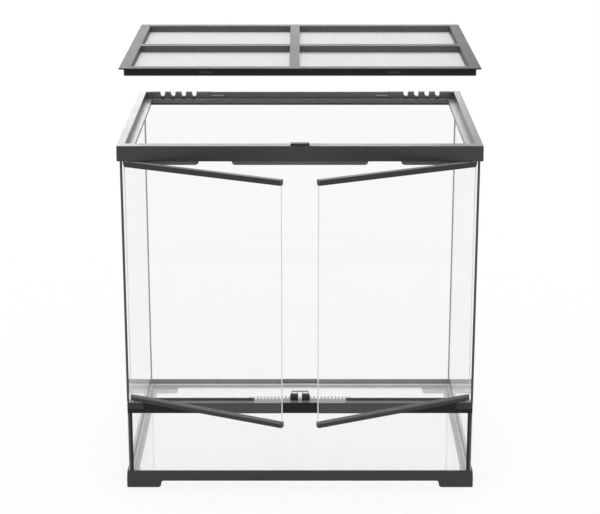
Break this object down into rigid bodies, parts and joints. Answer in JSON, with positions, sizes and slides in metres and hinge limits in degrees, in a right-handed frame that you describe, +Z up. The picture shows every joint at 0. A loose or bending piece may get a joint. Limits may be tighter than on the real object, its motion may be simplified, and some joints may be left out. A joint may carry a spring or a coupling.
{
  "type": "reptile terrarium",
  "caption": "Front-opening glass reptile terrarium with hinged glass doors over a vented sill, plastic base and top frames, cable ways and a lift-off mesh lid.",
  "frame": {"origin": "centre of the tank's footprint, on the plane of its feet", "axes": "+Z up, doors at the front facing -Y, +X to the right of someone looking at the doors"},
  "size_m": [0.6, 0.5705, 0.7307],
  "materials": {
    "frame_plastic": "satin moulded ABS",
    "tank_glass": "clear float glass",
    "door_glass": "clear float glass, polished edges",
    "silicone": "black silicone",
    "stop_rubber": "moulded rubber",
    "catch_plastic": "black moulded plastic",
    "magnet_steel": "nickel-plated magnet",
    "bridge_metal": "bent steel strip",
    "rail_plastic": "satin extruded plastic",
    "pin_steel": "turned steel",
    "lid_plastic": "satin moulded ABS",
    "lid_mesh": "woven wire mesh"
  },
  "bodies": {
    "tank": {"base_frame": "frame_plastic", "floor_glass": "tank_glass", "left_glass": "tank_glass", "right_glass": "tank_glass", "rear_glass": "tank_glass", "front_glass": "tank_glass", "rear_corner_seals": "silicone", "front_corner_seals": "silicone", "floor_seal": "silicone", "front_edge_trims": "silicone", "top_frame": "frame_plastic", "top_glass_seal": "silicone", "door_sill": "frame_plastic", "sill_bracket_left": "frame_plastic", "sill_bracket_right": "frame_plastic", "vent_comb": "frame_plastic", "door_stop_left": "stop_rubber", "door_stop_right": "stop_rubber", "catch_block_left": "catch_plastic", "catch_block_right": "catch_plastic", "catch_magnet_left": "magnet_steel", "catch_magnet_right": "magnet_steel", "catch_bridge": "bridge_metal"},
    "left_door": {"left_door_glass": "door_glass", "left_top_rail": "rail_plastic", "left_bottom_rail": "rail_plastic", "left_upper_pin": "pin_steel", "left_lower_pin": "pin_steel", "left_striker": "pin_steel"},
    "right_door": {"right_door_glass": "door_glass", "right_top_rail": "rail_plastic", "right_bottom_rail": "rail_plastic", "right_upper_pin": "pin_steel", "right_lower_pin": "pin_steel", "right_striker": "pin_steel"},
    "lid": {"lid_frame": "lid_plastic", "mesh_front_left": "lid_mesh", "mesh_front_right": "lid_mesh", "mesh_rear_left": "lid_mesh", "mesh_rear_right": "lid_mesh"},
    "latch": {"lid_latch": "catch_plastic", "latch_foot": "catch_plastic"},
    "left_shutter": {"cable_shutter_left": "catch_plastic"},
    "right_shutter": {"cable_shutter_right": "catch_plastic"}
  },
  "joints": [
    {"name": "left_door_hinge", "type": "hinge", "parent": "tank", "child": "left_door", "pos_m": [-0.2842, -0.2195, 0.37], "axis": [0, 0, -1], "range_deg": [-25.5, 84.5]},
    {"name": "right_door_hinge", "type": "hinge", "parent": "tank", "child": "right_door", "pos_m": [0.2842, -0.2195, 0.37], "axis": [0, 0, 1], "range_deg": [-25.5, 84.5]},
    {"name": "lid_lift", "type": "slide", "parent": "tank", "child": "lid", "axis": [0, 0, 1], "range_m": [-0.1234, 0.1]},
    {"name": "latch_slide", "type": "slide", "parent": "tank", "child": "latch", "axis": [0, 1, 0], "range_m": [0, 0.006]},
    {"name": "left_shutter_slide", "type": "slide", "parent": "tank", "child": "left_shutter", "axis": [-1, 0, 0], "range_m": [0, 0.00985]},
    {"name": "right_shutter_slide", "type": "slide", "parent": "tank", "child": "right_shutter", "axis": [1, 0, 0], "range_m": [0, 0.00985]}
  ]
}
